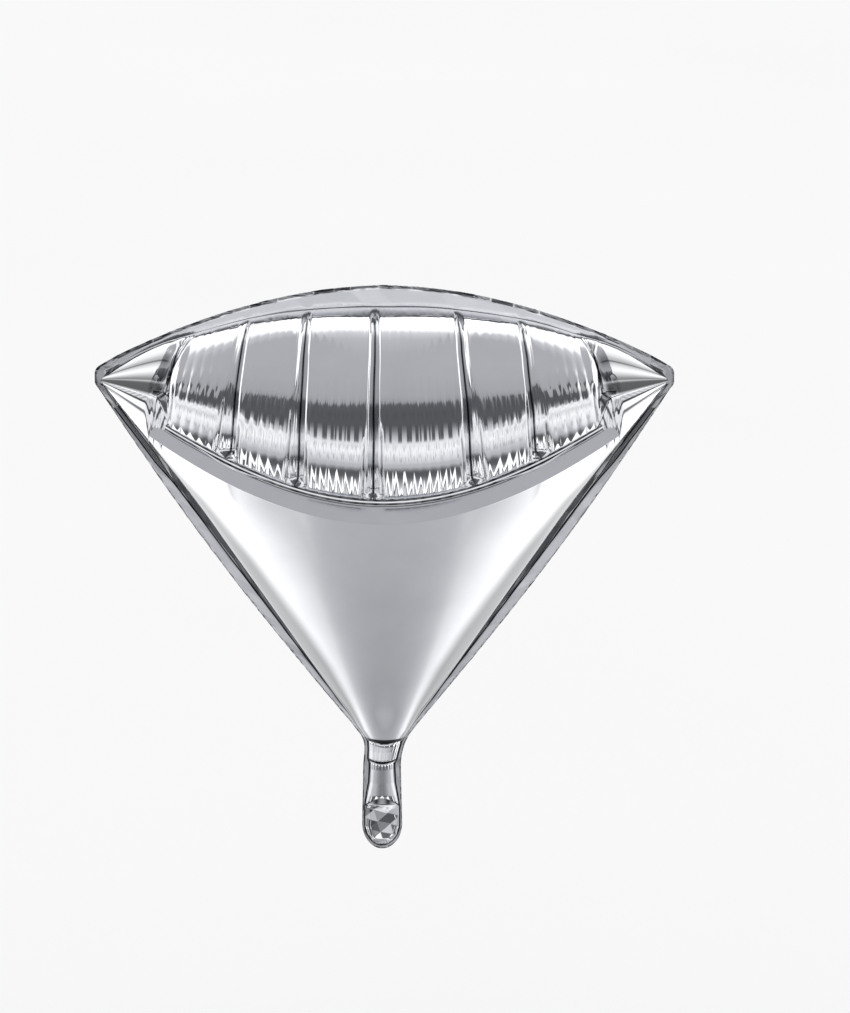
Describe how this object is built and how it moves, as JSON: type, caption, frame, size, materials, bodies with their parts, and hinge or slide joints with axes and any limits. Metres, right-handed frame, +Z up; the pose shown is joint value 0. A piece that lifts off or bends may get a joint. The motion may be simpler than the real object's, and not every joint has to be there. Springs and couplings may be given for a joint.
{
  "type": "diamond foil balloon",
  "caption": "Blown-up diamond foil balloon: a lobed, pinched crown over a tapering lower body, flat sealed edges, and a short fill tail at the bottom.",
  "frame": {"origin": "middle of the throat, where the tail is tied or clipped", "axes": "+Z up from the throat to the top seam, +X to the balloon's left-to-right width as the front is seen, the front faces -Y"},
  "size_m": [0.6, 0.365, 0.6009],
  "materials": {
    "mirror_foil": "mirror-bright silver metallised film, smooth, with pinch lines and fine puckers at the seams",
    "sealed_edge": "heat-sealed double film, silver, flatter and slightly duller, with a crinkled outer edge"
  },
  "bodies": {
    "root": {"upper_front_panel": "mirror_foil", "upper_back_panel": "mirror_foil", "lower_front_panel": "mirror_foil", "lower_back_panel": "mirror_foil", "tail_front_film": "mirror_foil", "tail_back_film": "mirror_foil", "top_seam": "sealed_edge", "front_seam": "sealed_edge", "back_seam": "sealed_edge", "left_side_seam": "sealed_edge", "right_side_seam": "sealed_edge", "tail_seam": "sealed_edge", "left_corner_tab": "sealed_edge", "right_corner_tab": "sealed_edge"}
  },
  "joints": []
}
